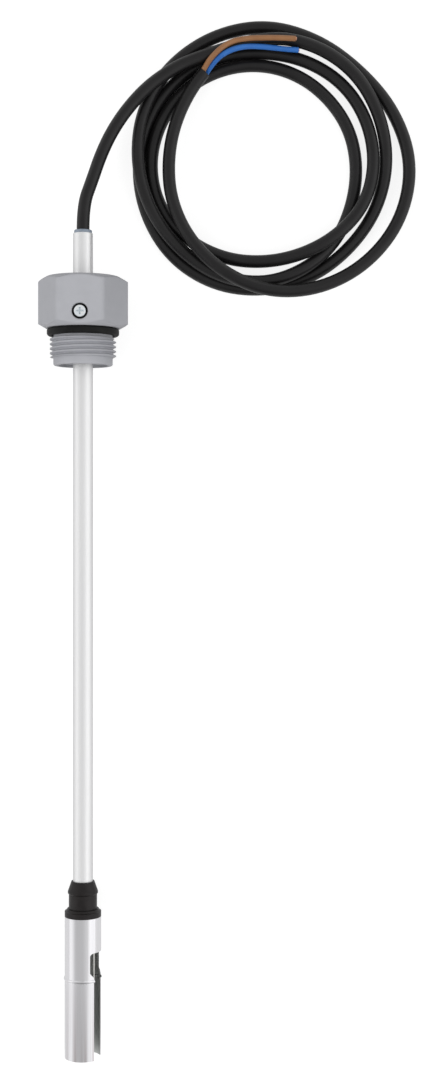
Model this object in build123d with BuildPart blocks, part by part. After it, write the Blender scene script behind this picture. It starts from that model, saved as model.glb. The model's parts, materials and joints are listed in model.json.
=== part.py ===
from build123d import *
import os
from math import atan, cos, pi, radians, sin, tan

# A level limit sensor for a liquid tank: a probe tube with a temperature-dependent resistor at
# its tip, a screw-in body that slides on the tube and is clamped by a screw, and a coiled cable.
# All sizes are in millimetres. The probe lies on a table, its cable end towards +Y, with the
# clamp screw on top. Depths count from the seal face of the screw-in body towards the tip.

# Probe tube
tube_diameter = 10.0
tube_wall = 1.0
tube_length = 340.1
tube_above_hex = 22.2
tube_edge_radius = 0.4

# Hexagon of the screw-in body
hex_flats = 40.0
hex_height = 25.5
hex_corner_radius = 3.3
hex_chamfer_inset = 1.4
hex_chamfer_angle = 30.0
slide_clearance = 0.05
bore_chamfer = 1.0

# Threaded stub of the screw-in body, with a G1 pipe thread
thread_major = 33.249
thread_minor = 30.291
thread_pitch = 2.309
thread_length = 9.9
thread_crest_width = 0.5
thread_root_width = 1.9
thread_start = 1.6
thread_end_land = 0.25
neck_length = 4.9
neck_diameter = 29.6
pilot_length = 3.8
pilot_diameter = 29.8
pilot_edge_radius = 0.9

# Moulded recess in the stub's end, with a guide boss held by ribs
recess_diameter = 25.6
recess_depth = 14.0
boss_diameter = 14.4
boss_setback = 5.0
rib_count = 4
rib_thickness = 1.4
rib_setback = 1.2

# Seal ring under the hexagon, and the ring that seals the body on the tube
seal_width = 3.35
seal_thickness = 3.8
seal_edge_radius = 1.3
tube_ring_section = 2.4
tube_ring_from_top = 5.0
tube_ring_squeeze_gap = 0.08
ring_groove_play = 0.4

# Clamp screw with its washer and pressure pad
screw_above_seat = 6.7
screw_diameter = 4.0
screw_head_diameter = 5.8
screw_head_height = 2.2
screw_head_edge = 0.35
screw_fit_clearance = 0.05
recess_arm_length = 3.6
recess_arm_width = 0.9
recess_cross_depth = 1.3
counterbore_diameter = 8.0
washer_diameter = 7.8
washer_thickness = 1.0
washer_bore = 4.3
pad_diameter = 3.9
pad_thickness = 2.0
pad_gap = 0.1

# Cable, its cores and the grommet in the tube's end
cable_diameter = 6.5
core_diameter = 2.8
core_spacing = 2.9
core_bend_radius = 5.6
grommet_length = 8.0
grommet_lip = 1.6
grommet_lip_width = 0.5
grommet_lip_edge = 0.5
lead_straight = 12.5
core_straight = 5.0
sheath_end_setback = 29.4
potting_length = 20.0

# Bush between the tube and the sleeve
bush_socket_depth = 13.2
bush_collar_length = 17.9
bush_mouth_diameter = 11.7
bush_cone_length = 5.1
bush_barb_diameter = 15.3
bush_barb_width = 0.9
bush_body_diameter = 14.3
bush_step_width = 0.6
bush_flange_height = 3.9
bush_flange_edge = 1.2
bush_spigot_length = 11.0
bush_wire_bore = 6.6
bush_funnel_diameter = 14.6
bush_funnel_length = 13.0

# Protective sleeve with its slot
sleeve_diameter = 18.5
sleeve_wall = 0.5
sleeve_length = 72.2
bead_from_top = 31.6
bead_height = 0.5
bead_width = 1.5
slot_direction = 75.3
slot_width = 10.2
window_width = 13.7
window_from_top = 17.4
window_height = 10.2
window_taper_height = 2.4
window_corner_radius = 1.6

# Header, terminal pins, ferrules and the thermistor inside the sleeve
header_thickness = 4.0
pin_spacing = 10.8
pin_diameter = 1.0
pin_below_header = 18.0
ferrule_diameter = 3.6
ferrule_length = 4.0
ferrule_above_header = 0.6
bead_diameter = 3.2
bead_length = 4.4
bead_from_pin_end = 2.2
lead_wire_diameter = 0.5

# Coil of the cable, as it lies beside the tube's end
coil_from_exit_x = 97.2
coil_from_exit_y = 39.1
coil_half_width = 72.2
coil_half_length = 70.3
coil_hole_shift_x = -6.1
coil_hole_shift_y = -1.8
coil_hole_half_width = 44.5
coil_hole_half_length = 46.5
coil_height = 13.0
coil_edge_radius = 5.0

# Stations along the probe
hex_top = -hex_height
tube_top = hex_top - tube_above_hex
grommet_top = tube_top - grommet_lip
tube_end = tube_top + tube_length
sheath_end_depth = tube_end - sheath_end_setback
bush_top = tube_end - bush_socket_depth
sleeve_top = bush_top + bush_collar_length
spigot_end = sleeve_top + bush_spigot_length
header_end = spigot_end + header_thickness
pin_end = header_end + pin_below_header
sleeve_end = sleeve_top + sleeve_length
stub_end = neck_length + thread_length + pilot_length

# Resting place: the hexagon's flat and the sleeve's rim lie on the table
flat_edge_above_seat = hex_chamfer_inset * tan(radians(hex_chamfer_angle))
probe_tilt = atan((hex_flats / 2 - sleeve_diameter / 2) / (sleeve_end + flat_edge_above_seat))
axis_height = hex_flats / 2 * cos(probe_tilt) - flat_edge_above_seat * sin(probe_tilt)
seat_y = (sleeve_end + grommet_top) / 2 * cos(probe_tilt)
tip_direction = Vector(0, -cos(probe_tilt), -sin(probe_tilt))
up_direction = Vector(0, -sin(probe_tilt), cos(probe_tilt))

# Across the probe, seen from its cable end, and lengthwise with depth as the second direction
seat = Plane(origin=(0, seat_y, axis_height), x_dir=(1, 0, 0), z_dir=tip_direction)
lengthwise = Plane(origin=seat.origin, x_dir=(1, 0, 0), z_dir=-up_direction)
probe_axis = Axis(seat.origin, tip_direction)

# Across the clamp screw, with its foot on the probe's axis
screw_plane = Plane(origin=seat.offset(-screw_above_seat).origin, x_dir=(1, 0, 0), z_dir=up_direction)

# Towards the slot, with the depth as the second direction
slot_turn = radians(slot_direction)
slot_normal = up_direction * cos(slot_turn) + Vector(1, 0, 0) * sin(slot_turn)
slot_plane = Plane(origin=seat.origin, x_dir=tip_direction.cross(slot_normal), z_dir=slot_normal)

os.makedirs("parts", exist_ok=True)


def save(name, piece):
    piece.label = name
    export_step(piece, f"parts/{name}.step")


def corner_radii(points):
    # An arc takes up to 0.45 of the shorter of the two runs that it joins
    radii = []
    for before, corner, after in zip(points, points[1:], points[2:]):
        run_in = Vector(*corner) - Vector(*before)
        run_out = Vector(*after) - Vector(*corner)
        half_turn = radians(run_in.get_angle(run_out)) / 2
        radii.append(0.45 * min(run_in.length, run_out.length) / tan(half_turn))
    return radii


# Probe tube, with its ends rounded over
tube_radius = tube_diameter / 2
tube_bore = tube_diameter - 2 * tube_wall
with BuildPart() as probe_tube:
    with BuildSketch(seat.offset(tube_top)):
        Circle(tube_radius)
        Circle(tube_bore / 2, mode=Mode.SUBTRACT)
    extrude(amount=tube_length)
    fillet(probe_tube.edges().filter_by(GeomType.CIRCLE), tube_edge_radius)
save("probe_tube", probe_tube.part)

# Screw-in body: the hexagon, chamfered by a cone at each end
chamfer_face_radius = hex_flats / 2 - hex_chamfer_inset
chamfer_rise = tan(radians(hex_chamfer_angle))
body_bore = tube_diameter + 2 * slide_clearance
with BuildPart() as chamfer_cone:
    with BuildSketch(lengthwise):
        with BuildLine():
            widest = chamfer_face_radius + hex_height / 2 / chamfer_rise
            Polyline(
                (0, hex_top),
                (chamfer_face_radius, hex_top),
                (widest, -hex_height / 2),
                (chamfer_face_radius, 0),
                (0, 0),
                close=True,
            )
        make_face()
    revolve(axis=probe_axis)

# The thread's ridge, trimmed to its length
with BuildPart() as thread_ridge:
    with BuildLine() as thread_path:
        Helix(
            pitch=thread_pitch,
            height=stub_end,
            radius=thread_minor / 2,
            center=seat.offset(thread_start).origin,
            direction=tip_direction,
        )
    thread_foot = thread_path.line @ 0
    outwards = thread_foot - seat.offset(thread_start).origin
    with BuildSketch(Plane(thread_foot, x_dir=outwards, z_dir=thread_path.line % 0)):
        with BuildLine():
            crest_x = (thread_major - thread_minor) / 2
            flank_slope = (thread_root_width - thread_crest_width) / 2 / crest_x
            sunk_x = -0.2
            Polyline(
                (sunk_x, thread_root_width / 2 - sunk_x * flank_slope),
                (crest_x, thread_crest_width / 2),
                (crest_x, -thread_crest_width / 2),
                (sunk_x, -thread_root_width / 2 + sunk_x * flank_slope),
                close=True,
            )
        make_face()
    sweep(path=thread_path.line, is_frenet=True)
    with BuildSketch(seat.offset(neck_length + thread_end_land)):
        Circle(thread_major)
    extrude(amount=thread_length - 2 * thread_end_land, mode=Mode.INTERSECT)

with BuildPart() as screw_in_body:
    with BuildSketch(seat.offset(hex_top)):
        RegularPolygon(radius=hex_flats / 2, side_count=6, major_radius=False)
    extrude(amount=hex_height)
    fillet(screw_in_body.edges().filter_by(Axis(seat.origin, tip_direction)), hex_corner_radius)
    add(chamfer_cone.part, mode=Mode.INTERSECT)
    with BuildSketch(lengthwise):
        with BuildLine():
            Polyline(
                (0, 0),
                (neck_diameter / 2, 0),
                (neck_diameter / 2, neck_length),
                (thread_minor / 2, neck_length),
                (thread_minor / 2, neck_length + thread_length),
                (pilot_diameter / 2, neck_length + thread_length),
                (pilot_diameter / 2, stub_end),
                (0, stub_end),
                close=True,
            )
        make_face()
    revolve(axis=probe_axis)
    fillet(screw_in_body.edges().filter_by(GeomType.CIRCLE).sort_by(probe_axis)[-1], pilot_edge_radius)
    add(thread_ridge.part)
    with BuildSketch(seat.offset(stub_end)):
        Circle(recess_diameter / 2)
    extrude(amount=-recess_depth, mode=Mode.SUBTRACT)
    with BuildSketch(seat.offset(stub_end - recess_depth)):
        Circle(boss_diameter / 2)
    extrude(amount=recess_depth - boss_setback)
    with BuildSketch(seat.offset(stub_end - recess_depth)):
        with PolarLocations(recess_diameter / 4, rib_count, start_angle=180 / rib_count):
            Rectangle(recess_diameter / 2 + rib_thickness, rib_thickness)
    extrude(amount=recess_depth - rib_setback)
    with BuildSketch(seat.offset(hex_top)):
        Circle(body_bore / 2)
    extrude(amount=hex_height + stub_end, mode=Mode.SUBTRACT)
    with BuildSketch(lengthwise):
        with BuildLine():
            Polyline(
                (0, hex_top),
                (body_bore / 2 + bore_chamfer, hex_top),
                (0, hex_top + body_bore / 2 + bore_chamfer),
                close=True,
            )
        make_face()
    revolve(axis=probe_axis, mode=Mode.SUBTRACT)
    # Groove for the ring that seals on the tube
    tube_ring_radius = tube_radius + tube_ring_squeeze_gap + tube_ring_section / 2
    tube_ring_depth = hex_top + tube_ring_from_top
    groove_radius = tube_ring_radius + tube_ring_section / 2
    with BuildSketch(seat.offset(tube_ring_depth - (tube_ring_section + ring_groove_play) / 2)):
        Circle(groove_radius)
    extrude(amount=tube_ring_section + ring_groove_play, mode=Mode.SUBTRACT)
    # Stepped hole for the clamp screw
    with BuildSketch(screw_plane):
        Circle(screw_diameter / 2 + screw_fit_clearance)
    extrude(amount=hex_flats / 2, mode=Mode.SUBTRACT)
    counterbore_depth = screw_head_height + washer_thickness
    with BuildSketch(screw_plane.offset(hex_flats / 2 - counterbore_depth)):
        Circle(counterbore_diameter / 2)
    extrude(amount=hex_flats, mode=Mode.SUBTRACT)
save("screw_in_body", screw_in_body.part)

# Seal ring under the hexagon, rounded all over
with BuildPart() as body_seal_ring:
    with BuildSketch(seat):
        Circle(neck_diameter / 2 + seal_width)
        Circle(neck_diameter / 2 + slide_clearance, mode=Mode.SUBTRACT)
    extrude(amount=seal_thickness)
    fillet(body_seal_ring.edges().filter_by(GeomType.CIRCLE), seal_edge_radius)
save("body_seal_ring", body_seal_ring.part)

# Round-section ring that seals the body on the tube
with BuildPart() as tube_seal_ring:
    with BuildSketch(lengthwise):
        with Locations((tube_ring_radius, tube_ring_depth)):
            Circle(tube_ring_section / 2)
    revolve(axis=probe_axis)
save("tube_seal_ring", tube_seal_ring.part)

# Clamp screw with a cross recess, its washer and its pad on the tube
head_seat = hex_flats / 2 - screw_head_height
pad_foot = tube_radius + pad_gap
with BuildPart() as clamp_screw:
    with BuildSketch(screw_plane.offset(pad_foot + pad_thickness)):
        Circle(screw_diameter / 2)
    extrude(amount=head_seat - pad_foot - pad_thickness)
    with BuildSketch(screw_plane.offset(head_seat)):
        Circle(screw_head_diameter / 2)
    extrude(amount=screw_head_height)
    head_rim = clamp_screw.edges().filter_by(GeomType.CIRCLE).sort_by(Axis(seat.origin, up_direction))[-1]
    fillet(head_rim, screw_head_edge)
    with BuildSketch(screw_plane.offset(hex_flats / 2)):
        Rectangle(recess_arm_length, recess_arm_width)
        Rectangle(recess_arm_width, recess_arm_length)
    extrude(amount=-recess_cross_depth, taper=12, mode=Mode.SUBTRACT)
save("clamp_screw", clamp_screw.part)

with BuildPart() as clamp_washer:
    with BuildSketch(screw_plane.offset(head_seat - washer_thickness)):
        Circle(washer_diameter / 2)
        Circle(washer_bore / 2, mode=Mode.SUBTRACT)
    extrude(amount=washer_thickness)
save("clamp_washer", clamp_washer.part)

with BuildPart() as clamp_pad:
    with BuildSketch(screw_plane.offset(pad_foot)):
        Circle(pad_diameter / 2)
    extrude(amount=pad_thickness)
save("clamp_pad", clamp_pad.part)

# Grommet in the tube's end, with a rounded lip on the tube's rim
with BuildPart() as cable_grommet:
    with BuildSketch(seat.offset(tube_top)):
        Circle(tube_bore / 2)
    extrude(amount=grommet_length)
    with BuildSketch(seat.offset(grommet_top)):
        Circle(tube_bore / 2 + grommet_lip_width)
    extrude(amount=grommet_lip)
    with BuildSketch(seat.offset(grommet_top)):
        Circle(cable_diameter / 2)
    extrude(amount=grommet_lip + grommet_length, mode=Mode.SUBTRACT)
    lip_rim = cable_grommet.edges().filter_by(GeomType.CIRCLE).group_by(probe_axis)[0].sort_by(SortBy.RADIUS)
    fillet(lip_rim[-1], grommet_lip_edge)
save("cable_grommet", cable_grommet.part)

# Sheathed cable inside the tube
with BuildPart() as cable_in_tube:
    with BuildSketch(seat.offset(grommet_top)):
        Circle(cable_diameter / 2)
    extrude(amount=sheath_end_depth - grommet_top)
save("cable_in_tube", cable_in_tube.part)

# Bare cores from the sheath's end to the ferrules on the terminal pins
ferrule_top = spigot_end - ferrule_above_header - ferrule_length
funnel_start = spigot_end - bush_funnel_length
core_bend_end = ferrule_top - core_diameter
core_route_points = (
    (core_spacing / 2, sheath_end_depth),
    (core_spacing / 2, funnel_start),
    (pin_spacing / 2, core_bend_end),
    (pin_spacing / 2, ferrule_top),
)
for core_name, side in (("brown_inner_core", 1), ("blue_inner_core", -1)):
    with BuildPart() as inner_core:
        with BuildLine(lengthwise) as core_route:
            bend_points = [(side * across, depth) for across, depth in core_route_points]
            FilletPolyline(*bend_points, radius=core_bend_radius)
        with BuildSketch(Plane(core_route.line @ 0, z_dir=core_route.line % 0)):
            Circle(core_diameter / 2)
        sweep(path=core_route.line)
    save(core_name, inner_core.part)

# Resin that seals the tube's lower end round the two cores
potting_top = tube_end - potting_length
with BuildPart() as tube_potting:
    with BuildSketch(seat.offset(potting_top)):
        Circle(tube_bore / 2)
        with Locations((core_spacing / 2, 0), (-core_spacing / 2, 0)):
            Circle(core_diameter / 2, mode=Mode.SUBTRACT)
    extrude(amount=potting_length)
save("tube_potting", tube_potting.part)

# Bush: a barbed mouth, a plain body, a flange and a spigot inside the sleeve
sleeve_bore = sleeve_diameter - 2 * sleeve_wall
cone_end = bush_top + bush_cone_length
barb_end = cone_end + bush_barb_width
flange_top = sleeve_top - bush_flange_height
with BuildPart() as probe_bush:
    with BuildSketch(lengthwise):
        with BuildLine():
            Polyline(
                (tube_radius, bush_top),
                (bush_mouth_diameter / 2, bush_top),
                (bush_barb_diameter / 2, cone_end),
                (bush_barb_diameter / 2, barb_end),
                (bush_body_diameter / 2, barb_end + bush_step_width),
                (bush_body_diameter / 2, flange_top),
                (sleeve_diameter / 2 - bush_flange_edge, flange_top),
            )
            RadiusArc(
                (sleeve_diameter / 2 - bush_flange_edge, flange_top),
                (sleeve_diameter / 2, flange_top + bush_flange_edge),
                bush_flange_edge,
            )
            Polyline(
                (sleeve_diameter / 2, flange_top + bush_flange_edge),
                (sleeve_diameter / 2, sleeve_top),
                (sleeve_bore / 2, sleeve_top),
                (sleeve_bore / 2, spigot_end),
                (bush_funnel_diameter / 2, spigot_end),
                (bush_funnel_diameter / 2, core_bend_end),
                (bush_wire_bore / 2, funnel_start),
                (bush_wire_bore / 2, tube_end),
                (tube_radius, tube_end),
                (tube_radius, bush_top),
            )
        make_face()
    revolve(axis=probe_axis)
save("probe_bush", probe_bush.part)

# Protective sleeve: thin wall, a rolled bead, and a slot with a window at its upper end
sleeve_radius = sleeve_diameter / 2
bead_depth = sleeve_top + bead_from_top
bead_reach = bead_width / 2
groove_reach = (bead_width - sleeve_wall) / 4
with BuildPart() as sensor_sleeve:
    with BuildSketch(lengthwise):
        with BuildLine():
            Polyline(
                (sleeve_bore / 2, bead_depth - groove_reach),
                (sleeve_bore / 2, sleeve_top),
                (sleeve_radius, sleeve_top),
                (sleeve_radius, bead_depth - bead_reach),
            )
            ThreePointArc(
                (sleeve_radius, bead_depth - bead_reach),
                (sleeve_radius + bead_height, bead_depth),
                (sleeve_radius, bead_depth + bead_reach),
            )
            Polyline(
                (sleeve_radius, bead_depth + bead_reach),
                (sleeve_radius, sleeve_end),
                (sleeve_bore / 2, sleeve_end),
                (sleeve_bore / 2, bead_depth + groove_reach),
            )
            ThreePointArc(
                (sleeve_bore / 2, bead_depth + groove_reach),
                (sleeve_bore / 2 + bead_height, bead_depth),
                (sleeve_bore / 2, bead_depth - groove_reach),
            )
        make_face()
    revolve(axis=probe_axis)
    window_top = sleeve_top + window_from_top
    window_end = window_top + window_height
    slot_start = window_end + window_taper_height
    with BuildSketch(slot_plane) as slot_outline:
        with BuildLine():
            Polyline(
                (-window_width / 2, window_top),
                (-window_width / 2, window_end),
                (-slot_width / 2, slot_start),
                (-slot_width / 2, sleeve_end + sleeve_wall),
                (slot_width / 2, sleeve_end + sleeve_wall),
                (slot_width / 2, slot_start),
                (window_width / 2, window_end),
                (window_width / 2, window_top),
                close=True,
            )
        make_face()
        fillet(slot_outline.vertices().sort_by(Axis.Y)[:-2], window_corner_radius)
    extrude(amount=sleeve_diameter, mode=Mode.SUBTRACT)
save("sensor_sleeve", sensor_sleeve.part)

# Header that closes the bush's spigot and holds the two terminal pins
pin_places = ((pin_spacing / 2, 0), (-pin_spacing / 2, 0))
with BuildPart() as sensor_header:
    with BuildSketch(seat.offset(spigot_end)):
        Circle(sleeve_bore / 2)
        with Locations(*pin_places):
            Circle(pin_diameter / 2, mode=Mode.SUBTRACT)
    extrude(amount=header_thickness)
save("sensor_header", sensor_header.part)

# Terminal pins with domed ends, and the ferrules that join them to the cores
for core_name, pin_place in zip(("brown", "blue"), pin_places):
    with BuildPart() as terminal_pin:
        with BuildSketch(seat.offset(ferrule_top)):
            with Locations(pin_place):
                Circle(pin_diameter / 2)
        extrude(amount=pin_end - ferrule_top)
        pin_tip = terminal_pin.edges().filter_by(GeomType.CIRCLE).sort_by(probe_axis)[-1]
        fillet(pin_tip, pin_diameter / 4)
    save(f"{core_name}_terminal_pin", terminal_pin.part)
    with BuildPart() as crimp_ferrule:
        with BuildSketch(seat.offset(ferrule_top)):
            with Locations(pin_place):
                Circle(ferrule_diameter / 2)
                Circle(pin_diameter / 2, mode=Mode.SUBTRACT)
        extrude(amount=ferrule_length)
    save(f"{core_name}_crimp_ferrule", crimp_ferrule.part)

# Thermistor: a rounded bead held between the pins by two thin wires
thermistor_depth = pin_end - bead_from_pin_end
with BuildPart() as thermistor_bead:
    with BuildSketch(seat.offset(thermistor_depth - bead_length / 2)):
        Circle(bead_diameter / 2)
    extrude(amount=bead_length)
    fillet(thermistor_bead.edges().filter_by(GeomType.CIRCLE), bead_diameter / 2 - lead_wire_diameter)
save("thermistor_bead", thermistor_bead.part)

wire_span = pin_spacing / 2 - bead_diameter / 2 - pin_diameter / 2
wire_middle = (bead_diameter / 2 + pin_spacing / 2 - pin_diameter / 2) / 2
with BuildPart() as thermistor_wires:
    for side in (1, -1):
        wire_foot = seat.offset(thermistor_depth).origin + Vector(side * (wire_middle - wire_span / 2), 0, 0)
        with BuildSketch(Plane(origin=wire_foot, z_dir=(side, 0, 0))):
            Circle(lead_wire_diameter / 2)
        extrude(amount=wire_span)
save("thermistor_wires", thermistor_wires.part)

# Cable outside the tube: places are measured from the grommet's mouth, heights from the table
tail_height = coil_height + cable_diameter / 2
cable_exit = seat.offset(grommet_top).origin


def from_exit(across, along, height):
    return (cable_exit.X + across, cable_exit.Y + along, height)


lead_points = [
    tuple(cable_exit),
    tuple(cable_exit - tip_direction * lead_straight),
    from_exit(3.2, 25.3, 19.0),
    from_exit(7.6, 38.3, 14.6),
    from_exit(13.6, 50.8, 10.6),
    from_exit(21.6, 62.6, 8.4),
    from_exit(31.6, 73.0, 8.6),
    from_exit(43.0, 80.8, 9.7),
    from_exit(55.2, 86.4, 9.9),
]
tail_points = [
    from_exit(43.0, 31.8, tail_height),
    from_exit(44.8, 45.8, tail_height),
    from_exit(49.4, 59.8, tail_height),
    from_exit(55.6, 72.8, tail_height),
    from_exit(62.2, 83.6, tail_height),
]


def build_cord(name, points, diameter):
    # Straight runs joined by tangent arcs, swept by the cord's round section
    radii = corner_radii(points)
    with BuildPart() as cord:
        with BuildLine() as route:
            FilletPolyline(*points, radius=radii)
        with BuildSketch(Plane(origin=route.line @ 0, z_dir=route.line % 0)):
            Circle(diameter / 2)
        sweep(path=route.line)
    save(name, cord.part)
    section_volume = pi * diameter**2 / 4 * route.wire().length
    shown = ", ".join(f"{radius:.0f}" for radius in radii)
    print(f"{name}: arc radii {shown} mm, {cord.part.volume / section_volume:.4f} of its section's volume")


build_cord("cable_lead", lead_points, cable_diameter)
build_cord("cable_tail", tail_points, cable_diameter)

# The two cores leave the sheath's end side by side and lie over the coil
sheath_end = Vector(*tail_points[-1])
sheath_direction = (sheath_end - Vector(*tail_points[-2])).normalized()
core_offset = sheath_direction.cross(Vector(0, 0, 1)) * core_spacing / 2
brown_start = sheath_end - core_offset
blue_start = sheath_end + core_offset
brown_points = [
    tuple(brown_start),
    tuple(brown_start + sheath_direction * core_straight),
    from_exit(66.8, 92.2, 16.0),
    from_exit(71.8, 96.6, 15.4),
    from_exit(78.0, 99.4, 14.8),
    from_exit(85.4, 100.6, 14.4),
    from_exit(93.0, 100.7, 14.4),
    from_exit(100.6, 100.3, 14.4),
    from_exit(108.0, 99.8, 14.4),
]
blue_points = [
    tuple(blue_start),
    tuple(blue_start + sheath_direction * core_straight),
    from_exit(69.6, 90.0, 16.0),
    from_exit(74.8, 93.6, 15.4),
    from_exit(81.2, 95.6, 14.8),
    from_exit(88.2, 96.1, 14.4),
    from_exit(95.4, 95.6, 14.4),
    from_exit(102.4, 94.4, 14.4),
    from_exit(109.2, 93.0, 14.4),
]
build_cord("brown_core_tail", brown_points, core_diameter)
build_cord("blue_core_tail", blue_points, core_diameter)

# Coil: one closed ring of its outer shape, with every rim rounded
coil_center = (cable_exit.X + coil_from_exit_x, cable_exit.Y + coil_from_exit_y)
hole_center = (coil_center[0] + coil_hole_shift_x, coil_center[1] + coil_hole_shift_y)
with BuildPart() as cable_coil:
    with BuildSketch():
        with Locations(coil_center):
            Ellipse(coil_half_width, coil_half_length)
        with Locations(hole_center):
            Ellipse(coil_hole_half_width, coil_hole_half_length, mode=Mode.SUBTRACT)
    extrude(amount=coil_height)
    fillet(cable_coil.edges(), coil_edge_radius)
save("cable_coil", cable_coil.part)
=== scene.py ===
import json
import logging
import math
from dataclasses import dataclass, field
from enum import Enum

import bmesh
import bpy
import numpy as np
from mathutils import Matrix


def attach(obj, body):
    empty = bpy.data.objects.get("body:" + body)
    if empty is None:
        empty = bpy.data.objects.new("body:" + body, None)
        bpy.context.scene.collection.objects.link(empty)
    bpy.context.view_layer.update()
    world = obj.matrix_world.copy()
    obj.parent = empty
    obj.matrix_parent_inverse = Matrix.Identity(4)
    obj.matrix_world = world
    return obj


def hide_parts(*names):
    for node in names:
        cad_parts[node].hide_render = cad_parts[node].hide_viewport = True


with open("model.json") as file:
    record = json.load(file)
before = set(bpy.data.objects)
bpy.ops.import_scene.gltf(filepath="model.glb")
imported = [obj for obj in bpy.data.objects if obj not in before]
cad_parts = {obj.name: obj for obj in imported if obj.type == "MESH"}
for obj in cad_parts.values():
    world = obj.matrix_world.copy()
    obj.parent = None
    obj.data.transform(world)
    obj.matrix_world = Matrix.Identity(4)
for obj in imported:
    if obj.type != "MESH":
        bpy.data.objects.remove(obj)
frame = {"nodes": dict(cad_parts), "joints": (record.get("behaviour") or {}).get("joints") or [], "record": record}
bpy.context.view_layer.update()

MM = 0.001
LOG = logging.getLogger("level_limit_sensor")
Point = tuple[float, float, float]
Colour = tuple[float, float, float]
WHITE: Colour = (1.0, 1.0, 1.0)
BLACK: Colour = (0.0, 0.0, 0.0)
# between which values most of a noise lies
NOISE_LOW, NOISE_HIGH = 0.3, 0.7
# the same for the streaks of a painted reflection, which leave gaps
STREAK_LOW, STREAK_HIGH = 0.42, 0.6
BEVEL_SAMPLES = 6


class Pattern(Enum):
    """Ways in which a finish varies: how far its noise is stretched across and along the probe."""

    DRAWN = (1.0, 0.012, 1.0)
    TURNED = (0.05, 1.0, 0.05)
    GRAINED = (1.0, 1.0, 1.0)
    POURED = (0.35, 0.35, 0.35)


@dataclass(frozen=True)
class ProbeLine:
    """The probe's centre line: it runs toward -Y and tips down from the level."""

    tilt: float
    level: float

    @classmethod
    def of(cls, record: dict, joints: list[dict]) -> "ProbeLine":
        """Read the line from the slide's axis and from a mount that lies on it.

        Args:
            record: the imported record.
            joints: the record's joints.

        Returns:
            The line, its level being the height at which it lies in coordinates that tip with it.
        """
        axis = next(joint["axis"] for joint in joints if joint["name"] == "depth_slide")
        point = next(mount["pos_m"] for mount in record["mounts"] if mount["name"] == "pilot")
        tilt = math.atan2(axis[2], -axis[1])
        return cls(tilt, point[1] * math.sin(tilt) + point[2] * math.cos(tilt))


@dataclass(frozen=True)
class InsideWithPaintedShade:
    """How a hollow piece looks on its inner faces, which lie within a distance of the probe's line: their darker
    colour is painted shade of the hollow, their higher roughness a duller finish of their own.
    """

    within: float
    colour: Colour
    roughness: float
    feather: float = 0.05 * MM


@dataclass(frozen=True)
class Edges:
    """Radius of the softened edges: one near the probe's line, one beyond a distance from it."""

    near: float
    far: float
    beyond: float
    feather: float = 1.0 * MM


@dataclass(frozen=True)
class PaintedReflection:
    """A painted reflection: a tint in streaks along the probe, standing in for the room mirrored in the metal,
    that grows from one station of its line to another.
    """

    colour: Colour
    start: float
    end: float
    depth: float
    roughness: float
    feather: float = 2.0 * MM


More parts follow.
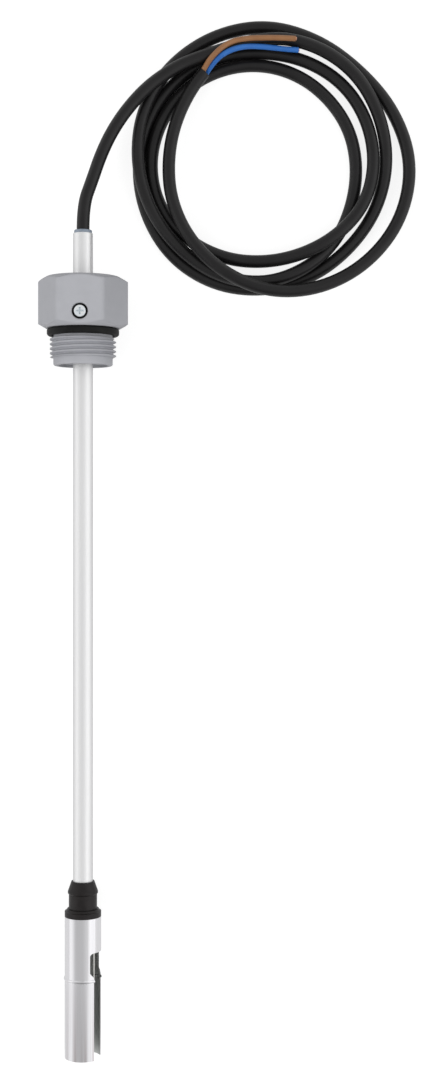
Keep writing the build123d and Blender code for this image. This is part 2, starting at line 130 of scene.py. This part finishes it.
@dataclass(frozen=True)
class Finish:
    """A surface finish of one material slot.

    The colour runs between two tones along a slow mottle; the fine noise of the pattern moves the
    roughness by its spread and raises the surface by the relief.
    """

    name: str
    slot: str
    colour: Colour
    tone: Colour
    pattern: Pattern = Pattern.GRAINED
    metallic: float = 0.0
    roughness: float = 0.5
    roughness_spread: float = 0.06
    grain: float = 0.4 * MM
    mottle: float = 12.0 * MM
    relief: float = 0.02 * MM
    edges: Edges | None = None
    specular: float = 0.5
    tint: Colour = (1.0, 1.0, 1.0)
    coat: float = 0.0
    inside: InsideWithPaintedShade | None = None
    painted_reflection: PaintedReflection | None = None

    def material(self, line: ProbeLine) -> bpy.types.Material:
        """Build the node material.

        Args:
            line: the probe's line, along which the patterns run.

        Returns:
            The finished material.
        """
        made = bpy.data.materials.new(self.name)
        made.use_nodes = True
        tree = made.node_tree
        tree.nodes.clear()
        graph = Graph(tree)
        place = graph.node("ShaderNodeTexCoord").outputs["Object"]
        probe = graph.mapping(place, shift=(0.0, 0.0, -line.level), turn=(line.tilt, 0.0, 0.0))
        drawn = graph.mapping(probe, stretch=self.pattern.value)
        fine = graph.noise(drawn, scale=1.0 / self.grain, detail=3.0)
        slow = graph.noise(drawn, scale=1.0 / self.mottle, detail=2.0)
        colour = graph.ramp(slow, ((NOISE_LOW, self.colour), (NOISE_HIGH, self.tone)))
        low, high = self.roughness - self.roughness_spread, self.roughness + self.roughness_spread
        rough = graph.spread(fine, NOISE_LOW, NOISE_HIGH, low, high)
        # painted reflection: streaks of a tint that grow toward the tip stand in for the room mirrored in the
        # metal
        if self.painted_reflection:
            start, along = self.painted_reflection.start, graph.split(probe, "Y")
            grown = graph.spread(along, start, self.painted_reflection.end, 0.0, self.painted_reflection.depth)
            streak = graph.spread(slow, STREAK_LOW, STREAK_HIGH, 0.0, 1.0)
            dull = graph.spread(along, start, start - self.painted_reflection.feather, 0.0, self.painted_reflection.roughness)
            rough = graph.maths("ADD", rough, dull)
            colour = graph.mix(graph.maths("MULTIPLY", grown, streak), colour, self.painted_reflection.colour)
        off = graph.length(graph.mapping(probe, stretch=(1.0, 0.0, 1.0)))
        # painted shade: a darker colour on the inner faces of the hollow; the rougher finish there is their own
        if self.inside:
            edge = self.inside.within
            inner = graph.spread(off, edge, edge - self.inside.feather, 0.0, 1.0)
            colour = graph.mix(inner, colour, self.inside.colour)
            rough = graph.maths("MAXIMUM", rough, graph.spread(inner, 0.0, 1.0, 0.0, self.inside.roughness))
        shader = graph.node("ShaderNodeBsdfPrincipled")
        shader.inputs["Metallic"].default_value = self.metallic
        shader.inputs["Specular IOR Level"].default_value = self.specular
        shader.inputs["Specular Tint"].default_value = (*self.tint, 1.0)
        shader.inputs["Coat Weight"].default_value = self.coat
        graph.join(colour, shader.inputs["Base Color"])
        graph.join(rough, shader.inputs["Roughness"])
        soft = None
        if self.edges:
            beyond = self.edges.beyond
            radius = graph.spread(off, beyond, beyond + self.edges.feather, self.edges.near, self.edges.far)
            soft = graph.soft_edge(radius)
        graph.join(graph.bump(fine, self.relief, soft), shader.inputs["Normal"])
        out = graph.node("ShaderNodeOutputMaterial")
        graph.join(shader.outputs["BSDF"], out.inputs["Surface"])
        return made


@dataclass
class Graph:
    """A node tree in the making."""

    tree: bpy.types.NodeTree

    def node(self, kind: str) -> bpy.types.Node:
        """Return a new node of a kind."""
        return self.tree.nodes.new(kind)

    def join(self, out: bpy.types.NodeSocket, into: bpy.types.NodeSocket) -> None:
        """Link an output to an input."""
        self.tree.links.new(out, into)

    def mapping(
        self,
        place: bpy.types.NodeSocket,
        shift: Point = (0.0, 0.0, 0.0),
        turn: Point = (0.0, 0.0, 0.0),
        stretch: Point = (1.0, 1.0, 1.0),
    ) -> bpy.types.NodeSocket:
        """Stretch, turn and then shift a coordinate.

        Args:
            place: the coordinate.
            shift: offset along each axis in metres.
            turn: rotation in radians about each axis.
            stretch: factor along each axis.

        Returns:
            The mapped coordinate.
        """
        mapped = self.node("ShaderNodeMapping")
        for name, value in (("Location", shift), ("Rotation", turn), ("Scale", stretch)):
            mapped.inputs[name].default_value = value
        self.join(place, mapped.inputs["Vector"])
        return mapped.outputs["Vector"]

    def split(self, place: bpy.types.NodeSocket, axis: str) -> bpy.types.NodeSocket:
        """Take one axis of a coordinate.

        Args:
            place: the coordinate.
            axis: X, Y or Z.

        Returns:
            The value along the axis.
        """
        parts = self.node("ShaderNodeSeparateXYZ")
        self.join(place, parts.inputs["Vector"])
        return parts.outputs[axis]

    def length(self, place: bpy.types.NodeSocket) -> bpy.types.NodeSocket:
        """Measure how far a coordinate lies from the origin.

        Args:
            place: the coordinate.

        Returns:
            The distance.
        """
        length = self.node("ShaderNodeVectorMath")
        length.operation = "LENGTH"
        self.join(place, length.inputs[0])
        return length.outputs["Value"]

    def maths(self, operation: str, first: object, second: object) -> bpy.types.NodeSocket:
        """Do a sum.

        Args:
            operation: the Math node's operation.
            first: a socket or a number.
            second: a socket or a number.

        Returns:
            The result.
        """
        made = self.node("ShaderNodeMath")
        made.operation = operation
        for socket, value in zip(made.inputs, (first, second)):
            if isinstance(value, float):
                socket.default_value = value
            else:
                self.join(value, socket)
        return made.outputs["Value"]

    def mix(self, share: bpy.types.NodeSocket, first: object, second: object) -> bpy.types.NodeSocket:
        """Mix two colours, each a socket or three numbers.

        Args:
            share: 0 for the first, 1 for the second.
            first: colour at 0.
            second: colour at 1.

        Returns:
            The mixed colour.
        """
        mix = self.node("ShaderNodeMix")
        mix.data_type = "RGBA"
        # the colour sockets share their names with the others, so they go by number
        self.join(share, mix.inputs["Factor"])
        for socket, colour in ((mix.inputs[6], first), (mix.inputs[7], second)):
            if isinstance(colour, tuple):
                socket.default_value = (*colour, 1.0)
            else:
                self.join(colour, socket)
        return mix.outputs[2]

    def noise(self, place: bpy.types.NodeSocket, scale: float, detail: float) -> bpy.types.NodeSocket:
        """Sample a noise at a coordinate.

        Args:
            place: the coordinate.
            scale: cells a metre.
            detail: octaves.

        Returns:
            The noise, 0 to 1.
        """
        texture = self.node("ShaderNodeTexNoise")
        texture.inputs["Scale"].default_value = scale
        texture.inputs["Detail"].default_value = detail
        self.join(place, texture.inputs["Vector"])
        return texture.outputs["Fac"]

    def ramp(
        self, value: bpy.types.NodeSocket, stops: tuple[tuple[float, Colour], ...]
    ) -> bpy.types.NodeSocket:
        """Turn a value into a colour.

        Args:
            value: the value, 0 to 1.
            stops: pairs of place and colour, in order.

        Returns:
            The colour.
        """
        ramp = self.node("ShaderNodeValToRGB")
        band = ramp.color_ramp
        while len(band.elements) < len(stops):
            band.elements.new(0.5)
        for element, (place, colour) in zip(band.elements, stops):
            element.position = place
            element.color = (*colour, 1.0)
        self.join(value, ramp.inputs["Fac"])
        return ramp.outputs["Color"]

    def spread(
        self, value: bpy.types.NodeSocket, start: float, end: float, low: float, high: float
    ) -> bpy.types.NodeSocket:
        """Carry a range of values to another and hold them within it.

        Args:
            value: the value.
            start: what becomes low.
            end: what becomes high.
            low: the first end of the new range.
            high: its second end.

        Returns:
            The carried value.
        """
        span = self.node("ShaderNodeMapRange")
        for name, number in (("From Min", start), ("From Max", end), ("To Min", low), ("To Max", high)):
            span.inputs[name].default_value = number
        self.join(value, span.inputs["Value"])
        return span.outputs["Result"]

    def soft_edge(self, radius: bpy.types.NodeSocket) -> bpy.types.NodeSocket:
        """Soften the edges over a radius.

        Args:
            radius: the radius in metres.

        Returns:
            The softened normal.
        """
        soft = self.node("ShaderNodeBevel")
        soft.samples = BEVEL_SAMPLES
        self.join(radius, soft.inputs["Radius"])
        return soft.outputs["Normal"]

    def bump(
        self, height: bpy.types.NodeSocket, relief: float, normal: bpy.types.NodeSocket | None
    ) -> bpy.types.NodeSocket:
        """Raise the surface by a height.

        Args:
            height: the height, 0 to 1.
            relief: what 1 stands for, in metres.
            normal: the normal to start from, or None for the surface's own.

        Returns:
            The normal.
        """
        bump = self.node("ShaderNodeBump")
        bump.inputs["Distance"].default_value = relief
        self.join(height, bump.inputs["Height"])
        if normal:
            self.join(normal, bump.inputs["Normal"])
        return bump.outputs["Normal"]


FINISHES = {
    finish.slot: finish
    for finish in (
        Finish("Satin_drawn_aluminium", "satin_aluminium", (0.93, 0.93, 0.932), (0.88, 0.88, 0.885),
               Pattern.DRAWN, metallic=0.6, roughness=0.4, roughness_spread=0.08, tint=(0.4, 0.4, 0.41),
               grain=0.5 * MM, mottle=2.2 * MM, relief=0.004 * MM),
        Finish("Grey_moulded_plastic", "grey_plastic", (0.447, 0.452, 0.482), (0.427, 0.432, 0.461),
               roughness=0.52, grain=0.35 * MM, mottle=6.0 * MM, relief=0.015 * MM,
               edges=Edges(0.45 * MM, 1.5 * MM, 18.5 * MM)),
        Finish("Bright_plated_steel", "plated_steel", (0.88, 0.875, 0.895), (0.80, 0.795, 0.82),
               Pattern.DRAWN, metallic=1.0, roughness=0.17, roughness_spread=0.06,
               grain=0.6 * MM, mottle=2.2 * MM, relief=0.012 * MM,
               # painted shade: the sleeve's inner faces darker than its outside
               inside=InsideWithPaintedShade(9.05 * MM, (0.565, 0.575, 0.565), 0.5),
               # painted reflection: pinkish streaks on the sleeve toward its tip
               painted_reflection=PaintedReflection((0.60, 0.56, 0.57), -168.0 * MM, -208.0 * MM, 0.9, 0.16)),
        Finish("Zinc_plated_screw", "zinc_steel", (0.96, 0.97, 0.975), (0.82, 0.89, 0.94),
               metallic=0.55, roughness=0.3, grain=0.25 * MM, mottle=1.2 * MM, relief=0.006 * MM),
        Finish("Black_seal_rubber", "black_rubber", (0.006, 0.006, 0.006), (0.011, 0.011, 0.011),
               roughness=0.6, grain=0.3 * MM, mottle=4.0 * MM, relief=0.01 * MM, specular=0.2),
        Finish("Blue_grey_grommet_rubber", "grey_rubber", (0.22, 0.26, 0.32), (0.30, 0.35, 0.42),
               roughness=0.55, grain=0.3 * MM, mottle=2.0 * MM, relief=0.01 * MM),
        Finish("Black_moulded_bush", "black_plastic", (0.009, 0.0075, 0.0075), (0.015, 0.0125, 0.0125),
               roughness=0.42, grain=0.3 * MM, mottle=4.0 * MM, relief=0.012 * MM, specular=0.28),
        Finish("Black_cable_sheath", "cable_sheath", (0.006, 0.0055, 0.006), (0.010, 0.0095, 0.010),
               roughness=0.38, grain=0.5 * MM, mottle=14.0 * MM, relief=0.01 * MM, specular=0.38),
        Finish("Brown_core_insulation", "brown_insulation", (0.33, 0.155, 0.064), (0.28, 0.125, 0.050),
               roughness=0.38, grain=0.4 * MM, mottle=7.0 * MM, relief=0.006 * MM),
        Finish("Blue_core_insulation", "blue_insulation", (0.026, 0.16, 0.52), (0.018, 0.125, 0.45),
               roughness=0.38, grain=0.4 * MM, mottle=7.0 * MM, relief=0.006 * MM),
        Finish("Dark_sealing_resin", "sealing_resin", (0.10, 0.085, 0.07), (0.06, 0.052, 0.045),
               Pattern.POURED, roughness=0.3, grain=0.8 * MM, mottle=5.0 * MM, relief=0.02 * MM),
        Finish("Machined_brass", "brass", (0.72, 0.53, 0.24), (0.62, 0.44, 0.19), Pattern.TURNED,
               metallic=1.0, roughness=0.3, grain=0.2 * MM, mottle=1.5 * MM, relief=0.004 * MM),
        Finish("Tinned_brass", "tinned_brass", (0.76, 0.755, 0.73), (0.66, 0.655, 0.63),
               Pattern.TURNED, metallic=1.0, roughness=0.32, grain=0.25 * MM, mottle=1.5 * MM,
               relief=0.006 * MM),
        Finish("Dark_thermistor_glaze", "thermistor_glaze", (0.10, 0.14, 0.10), (0.06, 0.09, 0.065),
               Pattern.POURED, roughness=0.18, grain=0.5 * MM, mottle=1.0 * MM, relief=0.01 * MM,
               coat=0.5),
    )
}


COPPER = Finish("Cut_copper_strands", "brass", (0.86, 0.50, 0.36), (0.74, 0.40, 0.28),
                metallic=0.8, roughness=0.35, grain=0.1 * MM, mottle=0.4 * MM, relief=0.003 * MM)


@dataclass
class Dresser:
    """Gives every carried-over node and every new piece the finish of its slot."""

    record: dict
    line: ProbeLine
    made: dict[str, bpy.types.Material] = field(default_factory=dict)

    def material(self, slot: str) -> bpy.types.Material:
        """Give a slot's one material, made when it is first asked for.

        Args:
            slot: the record's material slot.

        Returns:
            The material.
        """
        if slot not in self.made:
            self.made[slot] = FINISHES[slot].material(self.line)
        return self.made[slot]

    def copper(self) -> bpy.types.Material:
        """Give the one material of the cut copper strands, made when it is first asked for.

        Returns:
            The material.
        """
        if "copper" not in self.made:
            self.made["copper"] = COPPER.material(self.line)
        return self.made["copper"]

    def dress(self, piece: bpy.types.Object, slot: str) -> None:
        """Put a slot's material on a piece.

        Args:
            piece: the object.
            slot: the record's material slot.
        """
        piece.data.materials.clear()
        piece.data.materials.append(self.material(slot))

    def dress_nodes(self, nodes: dict[str, bpy.types.Object]) -> None:
        """Dress every carried-over node by the record.

        Args:
            nodes: the nodes by name.
        """
        for part in self.record["subparts"]:
            self.dress(nodes[part["node"]], part["material_slot"])
            LOG.info("dressed %s in %s", part["node"], part["material_slot"])


@dataclass
class Strand:
    """A round flexible strand along the quadratic B-spline of its route's control points."""

    name: str
    slot: str
    diameter: float
    route: np.ndarray
    sides: int = 8
    steps: int = 8

    def length(self) -> float:
        """Measure the strand along its spans.

        With control points A, B and C a span is (A + B)/2 + t (B - A) + t^2/2 (A - 2B + C), for t from
        0 to 1; the first and the last span reach the route's ends.

        Returns:
            The length in metres.
        """
        before, here, after = self.route[:-2], self.route[1:-1], self.route[2:]
        starts, ends = (before + here) / 2, (here + after) / 2
        starts[0], ends[-1] = self.route[0], self.route[-1]
        t = np.linspace(0.0, 1.0, 17)[None, :, None]
        spans = (1 - t) ** 2 * starts[:, None] + 2 * t * (1 - t) * here[:, None] + t**2 * ends[:, None]
        return float(np.linalg.norm(np.diff(spans, axis=1), axis=2).sum())

    def build(self, dresser: Dresser) -> bpy.types.Object:
        """Make the strand as a NURBS curve with a round section.

        Args:
            dresser: gives the finish.

        Returns:
            The curve object.
        """
        curve = bpy.data.curves.new(self.name, "CURVE")
        curve.dimensions = "3D"
        curve.fill_mode = "FULL"
        curve.bevel_depth = self.diameter / 2
        curve.bevel_resolution = self.sides
        curve.resolution_u = self.steps
        curve.render_resolution_u = self.steps
        curve.use_fill_caps = True
        line = curve.splines.new("NURBS")
        line.points.add(len(self.route) - 1)
        line.points.foreach_set("co", np.column_stack([self.route, np.ones(len(self.route))]).ravel())
        line.order_u = 3
        line.use_endpoint_u = True
        line.use_smooth = True
        piece = bpy.data.objects.new(self.name, curve)
        bpy.context.scene.collection.objects.link(piece)
        dresser.dress(piece, self.slot)
        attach(piece, "probe")
        LOG.info("%s: %.0f mm of %.1f mm strand", self.name, self.length() / MM, self.diameter / MM)
        return piece


@dataclass
class ConductorEnd:
    """The cut copper strands that show in a core's end: one in the middle and six round it."""

    name: str
    end: np.ndarray
    way: np.ndarray
    strand: float = 0.27 * MM
    inside: float = 1.2 * MM
    outside: float = 0.45 * MM
    sides: int = 20
    rings: int = 6

    def surface(self) -> tuple[np.ndarray, np.ndarray]:
        """Return the vertices and the faces of all seven strands.

        Each strand is the surface P(u, v) = C + s(u) W + r(u) (cos v A + sin v B), where W is the core's
        way out, A and B stand square to it, s runs from inside the core to the cut, and r falls to nothing
        over both ends; the last ring bulges by a third of the strand's radius.

        Returns:
            The vertices in metres and the quads between them.
        """
        out = self.way / np.linalg.norm(self.way)
        side = np.cross(out, (0.0, 0.0, 1.0))
        side /= np.linalg.norm(side)
        up = np.cross(side, out)
        bend = np.linspace(0.0, math.pi / 2, self.rings)
        radius = np.concatenate([[0.0, 1.0], np.cos(bend)]) * self.strand
        reach = np.concatenate([[-self.inside] * 2, self.outside + np.sin(bend) * self.strand / 3])
        turn = np.arange(self.sides) * (2 * math.pi / self.sides)
        spokes = np.cos(turn)[:, None] * side + np.sin(turn)[:, None] * up
        one = reach[:, None, None] * out + radius[:, None, None] * spokes
        ring = np.arange(6) * (math.pi / 3)
        places = 2 * self.strand * (np.cos(ring)[:, None] * side + np.sin(ring)[:, None] * up)
        centres = self.end + np.vstack([np.zeros(3), places])
        vertices = (centres[:, None, None] + one).reshape(-1, 3)
        row, column = np.meshgrid(np.arange(len(reach) - 1), np.arange(self.sides), indexing="ij")
        after = (column + 1) % self.sides
        quads = np.stack([row * self.sides + column, (row + 1) * self.sides + column,
                          (row + 1) * self.sides + after, row * self.sides + after], axis=-1).reshape(-1, 4)
        step = len(reach) * self.sides * np.arange(len(centres))
        return vertices, (quads[None] + step[:, None, None]).reshape(-1, 4)

    def build(self, dresser: Dresser) -> bpy.types.Object:
        """Make the strands as one piece.

        Args:
            dresser: gives the finish.

        Returns:
            The mesh object.
        """
        vertices, faces = self.surface()
        mesh = bpy.data.meshes.new(self.name)
        mesh.from_pydata(vertices.tolist(), [], faces.tolist())
        form = bmesh.new()
        form.from_mesh(mesh)
        bmesh.ops.remove_doubles(form, verts=form.verts, dist=0.001 * MM)
        bmesh.ops.recalc_face_normals(form, faces=form.faces)
        form.to_mesh(mesh)
        form.free()
        mesh.polygons.foreach_set("use_smooth", np.ones(len(mesh.polygons), bool))
        piece = bpy.data.objects.new(self.name, mesh)
        bpy.context.scene.collection.objects.link(piece)
        piece.data.materials.append(dresser.copper())
        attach(piece, "probe")
        LOG.info("%s: %d faces", self.name, len(mesh.polygons))
        return piece


@dataclass
class Cable:
    """The sheathed cable with its two bare cores.

    The lead's points lie between the grommet and the coil. Each row of the coil is one turn, with a
    station every sixteenth of it, clockwise from twelve o'clock, and the last row stops two stations
    short. A station has a distance from the coil's middle and a height above the table, both of the
    control point. Points, distances and heights are in millimetres, and diameters in metres.
    """

    diameter: float = 6.5 * MM
    core_diameter: float = 2.8 * MM
    exit: Point = (0.0, 209.21, 21.4)
    middle: tuple[float, float] = (92.1, 246.9)
    stations: int = 16
    lead: tuple[Point, ...] = (
        (0.0, 221.7, 21.8),
        (4.3, 234.5, 19.5),
        (8.5, 247.8, 17.7),
        (14.1, 260.3, 16.2),
        (21.9, 272.2, 15.2),
        (31.6, 283.0, 14.6),
        (42.7, 291.5, 13.4),
        (54.3, 298.1, 11.5),
    )
    reaches: tuple[tuple[float, ...], ...] = (
        (63.8, 64.7, 64.8, 63.4, 62.6, 61.8, 61.3, 62.9, 65.2, 67.6, 68.5, 67.3, 66.2, 65.0, 63.3, 60.5),
        (57.6, 57.2, 57.3, 56.4, 55.8, 55.2, 52.9, 51.4, 51.6, 53.8, 56.7, 59.5, 59.8, 58.4, 56.5, 53.7),
        (51.0, 48.5, 46.7, 46.5, 46.8, 48.8, 53.3, 58.3, 62.7, 63.7, 63.3, 64.5, 66.3, 68.6, 70.0, 70.9),
        (71.3, 69.2, 68.2, 71.3, 75.0, 75.4, 73.6, 71.0, 67.5, 61.5, 56.2, 52.5, 50.0, 50.4),
    )
    heights: tuple[tuple[float, ...], ...] = (
        (10.17, 9.25, 8.65, 6.83, 5.3, 4.1, 3.25, 3.25, 3.25, 3.25, 3.25, 3.25, 3.25, 3.25, 3.25, 3.25),
        (3.3, 3.7, 4.5, 5.7, 7.3, 9.3, 11.72, 11.29, 9.0, 7.3, 6.0, 5.2, 5.02, 4.38, 3.53, 3.26),
        (3.25, 3.25, 3.25, 3.25, 3.3, 3.5, 4.03, 8.17, 9.47, 8.45, 8.71, 9.3, 10.09, 8.97, 6.47, 5.1),
        (4.0, 3.28, 3.25, 3.87, 5.3, 7.0, 9.1, 11.7, 14.99, 15.68, 13.5, 12.0, 10.9, 10.2),
    )
    sheath_end: tuple[Point, ...] = ((54.3, 284.7, 9.9), (60.5, 291.9, 10.0))
    brown: tuple[Point, ...] = (
        (60.1, 292.6, 11.5),
        (62.1, 295.7, 13.8),
        (65.5, 299.3, 15.7),
        (69.7, 303.2, 15.8),
        (75.1, 306.4, 15.3),
        (82.3, 307.7, 15.2),
        (89.8, 308.1, 14.9),
        (102.2, 308.2, 14.4),
        (106.8, 307.8, 14.3),
    )
    blue: tuple[Point, ...] = (
        (61.6, 291.9, 8.8),
        (63.3, 294.0, 11.1),
        (67.2, 297.9, 13.9),
        (71.9, 301.0, 14.8),
        (78.3, 303.4, 14.7),
        (86.8, 304.4, 13.4),
        (102.6, 303.1, 12.0),
        (108.3, 303.0, 11.2),
    )

    def turns(self) -> np.ndarray:
        """Place the coil's control points at middle + reach (sin a, cos a), a = station 2 pi / stations.

        Returns:
            The points in millimetres.
        """
        reach, height = (np.array([v for row in rows for v in row]) for rows in (self.reaches, self.heights))
        angle = np.arange(len(reach)) * (2 * math.pi / self.stations)
        across = self.middle[0] + reach * np.sin(angle)
        along = self.middle[1] + reach * np.cos(angle)
        return np.column_stack([across, along, height])

    def route(self) -> np.ndarray:
        """Return the whole cable's control points in metres, from the grommet to the sheath's end."""
        return np.vstack([[self.exit], self.lead, self.turns(), self.sheath_end]) * MM

    def build(self, dresser: Dresser) -> None:
        """Args:
            dresser: gives the finishes.
        """
        sheath = Strand("cable", "cable_sheath", self.diameter, self.route(), sides=8, steps=8)
        cable = sheath.build(dresser)
        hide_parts("cable_lead", "cable_coil", "cable_tail")
        round(sheath.length(), 3)
        for name, slot, points in (("brown_core", "brown_insulation", self.brown),
                                   ("blue_core", "blue_insulation", self.blue)):
            strand = Strand(name, slot, self.core_diameter, np.array(points) * MM, sides=6, steps=8)
            core = strand.build(dresser)
            wires = ConductorEnd(f"{name}_strands", strand.route[-1], strand.route[-1] - strand.route[-2])
            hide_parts(f"{name}_tail")
            round(strand.length(), 4)
            wires.build(dresser)


@dataclass
class Studio:
    """The photographer's table: camera overhead, white paper, soft boxes left and right."""

    eye: Point = (0.0694, 0.04386, 0.857)
    roll: float = 0.00257
    lens: float = 55.5
    shift_up: float = 0.0185
    paper_size: float = 6.0
    paper_white: float = 0.3
    paper_glow: float = 0.82
    paper_gloss: float = 0.5
    fill: float = 0.62
    fibre_scale: float = 900.0
    fibre_tone: float = 0.01
    # how much darker the room shows in gloss toward the tip: from the first Y of the reflected ray's
    # direction on, and in full at the second
    dim: float = 0.75
    dim_from: float = -0.45
    dim_to: float = -0.95
    # the lamps' width, their height as a share of it, and the Y at which they point
    lamp_size: float = 0.9
    lamp_stretch: float = 1.4
    lamp_aim: float = 0.1
    # direction to the right of straight up, in degrees, and how bright the room is there
    sky: tuple[tuple[float, float], ...] = (
        (-180.0, 0.95), (-80.0, 1.06), (-70.0, 1.02), (-62.0, 0.93), (-54.0, 0.79), (-46.0, 0.65),
        (-38.0, 0.57), (0.0, 0.54), (8.0, 0.58), (20.0, 0.67), (34.0, 0.71), (42.0, 0.95),
        (50.0, 1.15), (180.0, 1.1),
    )

    def camera(self) -> None:
        """Set the camera straight above the table."""
        data = bpy.data.cameras.new("camera")
        data.lens = self.lens
        data.shift_y = self.shift_up
        data.clip_start, data.clip_end = 0.01, 20.0
        camera = bpy.data.objects.new("camera", data)
        camera.location = self.eye
        camera.rotation_euler = (0.0, 0.0, self.roll)
        bpy.context.scene.collection.objects.link(camera)
        bpy.context.scene.camera = camera

    def paper(self) -> None:
        """Lay the white paper: it shows as white to camera, gloss and glass, and keeps the soft shadow."""
        half = self.paper_size / 2
        mesh = bpy.data.meshes.new("paper")
        corners = [(-half, -half, 0.0), (half, -half, 0.0), (half, half, 0.0), (-half, half, 0.0)]
        mesh.from_pydata(corners, [], [(0, 1, 2, 3)])
        paper = bpy.data.objects.new("paper", mesh)
        bpy.context.scene.collection.objects.link(paper)
        made = bpy.data.materials.new("White_paper")
        made.use_nodes = True
        made.node_tree.nodes.clear()
        graph = Graph(made.node_tree)
        place = graph.node("ShaderNodeTexCoord").outputs["Object"]
        fibre = graph.noise(place, scale=self.fibre_scale, detail=2.0)
        dark, light = self.paper_white - self.fibre_tone, self.paper_white + self.fibre_tone
        shade = graph.ramp(fibre, ((NOISE_LOW, (dark,) * 3), (NOISE_HIGH, (light,) * 3)))
        diffuse = graph.node("ShaderNodeBsdfDiffuse")
        graph.join(shade, diffuse.inputs["Color"])
        glow = graph.node("ShaderNodeEmission")
        graph.join(self.shine(graph), glow.inputs["Strength"])
        both = graph.node("ShaderNodeAddShader")
        graph.join(diffuse.outputs["BSDF"], both.inputs[0])
        graph.join(glow.outputs["Emission"], both.inputs[1])
        out = graph.node("ShaderNodeOutputMaterial")
        graph.join(both.outputs["Shader"], out.inputs["Surface"])
        mesh.materials.append(made)

    def shine(self, graph: Graph) -> bpy.types.NodeSocket:
        """Make the paper glow for camera and glass rays, less for gloss, and not for the rest.

        Args:
            graph: the node tree to work in.

        Returns:
            The glow's strength.
        """
        path = graph.node("ShaderNodeLightPath")
        seen = graph.maths("MAXIMUM", path.outputs["Is Camera Ray"], path.outputs["Is Transmission Ray"])
        return graph.maths(
            "MAXIMUM",
            graph.maths("MULTIPLY", seen, self.paper_glow),
            graph.maths("MULTIPLY", path.outputs["Is Glossy Ray"], self.paper_gloss),
        )

    def room(self) -> None:
        """Light the room: white to the camera, soft boxes left and right in reflections, an even fill."""
        world = bpy.data.worlds.new("room")
        bpy.context.scene.world = world
        world.use_nodes = True
        world.node_tree.nodes.clear()
        graph = Graph(world.node_tree)
        way = graph.node("ShaderNodeTexCoord").outputs["Generated"]
        angle = graph.maths("ARCTAN2", graph.split(way, "X"), graph.split(way, "Z"))
        place = graph.spread(angle, -math.pi, math.pi, 0.0, 1.0)
        stops = tuple((degrees / 360 + 0.5, (bright,) * 3) for degrees, bright in self.sky)
        gloss = graph.ramp(place, stops)
        dim = graph.spread(graph.split(way, "Y"), self.dim_from, self.dim_to, 0.0, self.dim)
        gloss = graph.mix(dim, gloss, BLACK)
        path = graph.node("ShaderNodeLightPath")
        fill = graph.mix(path.outputs["Is Glossy Ray"], (self.fill,) * 3, gloss)
        white = graph.mix(path.outputs["Is Camera Ray"], fill, WHITE)
        white = graph.mix(path.outputs["Is Transmission Ray"], white, WHITE)
        background = graph.node("ShaderNodeBackground")
        graph.join(white, background.inputs["Color"])
        out = graph.node("ShaderNodeOutputWorld")
        graph.join(background.outputs["Background"], out.inputs["Surface"])

    def lamps(self) -> None:
        """Hang the soft boxes: the left one a little stronger than the right one."""
        for name, place, power in (
            ("soft_box_left", (-0.9, -0.3, 1.0), 6.8),
            ("soft_box_right", (1.0, -0.3, 1.0), 5.6),
        ):
            data = bpy.data.lights.new(name, "AREA")
            data.shape = "RECTANGLE"
            data.size, data.size_y = self.lamp_size, self.lamp_size * self.lamp_stretch
            data.energy = power
            lamp = bpy.data.objects.new(name, data)
            lamp.location = place
            way = np.array([self.eye[0], self.lamp_aim, 0.0]) - place
            way /= np.linalg.norm(way)
            lamp.rotation_euler = (math.asin(way[1]), math.atan2(-way[0], -way[2]), 0.0)
            lamp.visible_glossy = False
            bpy.context.scene.collection.objects.link(lamp)

    def build(self) -> None:
        """Set up the whole table."""
        self.camera()
        self.paper()
        self.room()
        self.lamps()
        bpy.context.scene.view_settings.view_transform = "Standard"


def main() -> None:
    """Build the studio, the cable and its cores, then dress every carried-over node."""
    studio = Studio()
    studio.build()
    dresser = Dresser(frame["record"], ProbeLine.of(frame["record"], frame["joints"]))
    Cable().build(dresser)
    dresser.dress_nodes(frame["nodes"])


if __name__ == "__main__":
    logging.basicConfig(level=logging.INFO, format="%(name)s: %(message)s")
    main()
    bpy.context.view_layer.update()
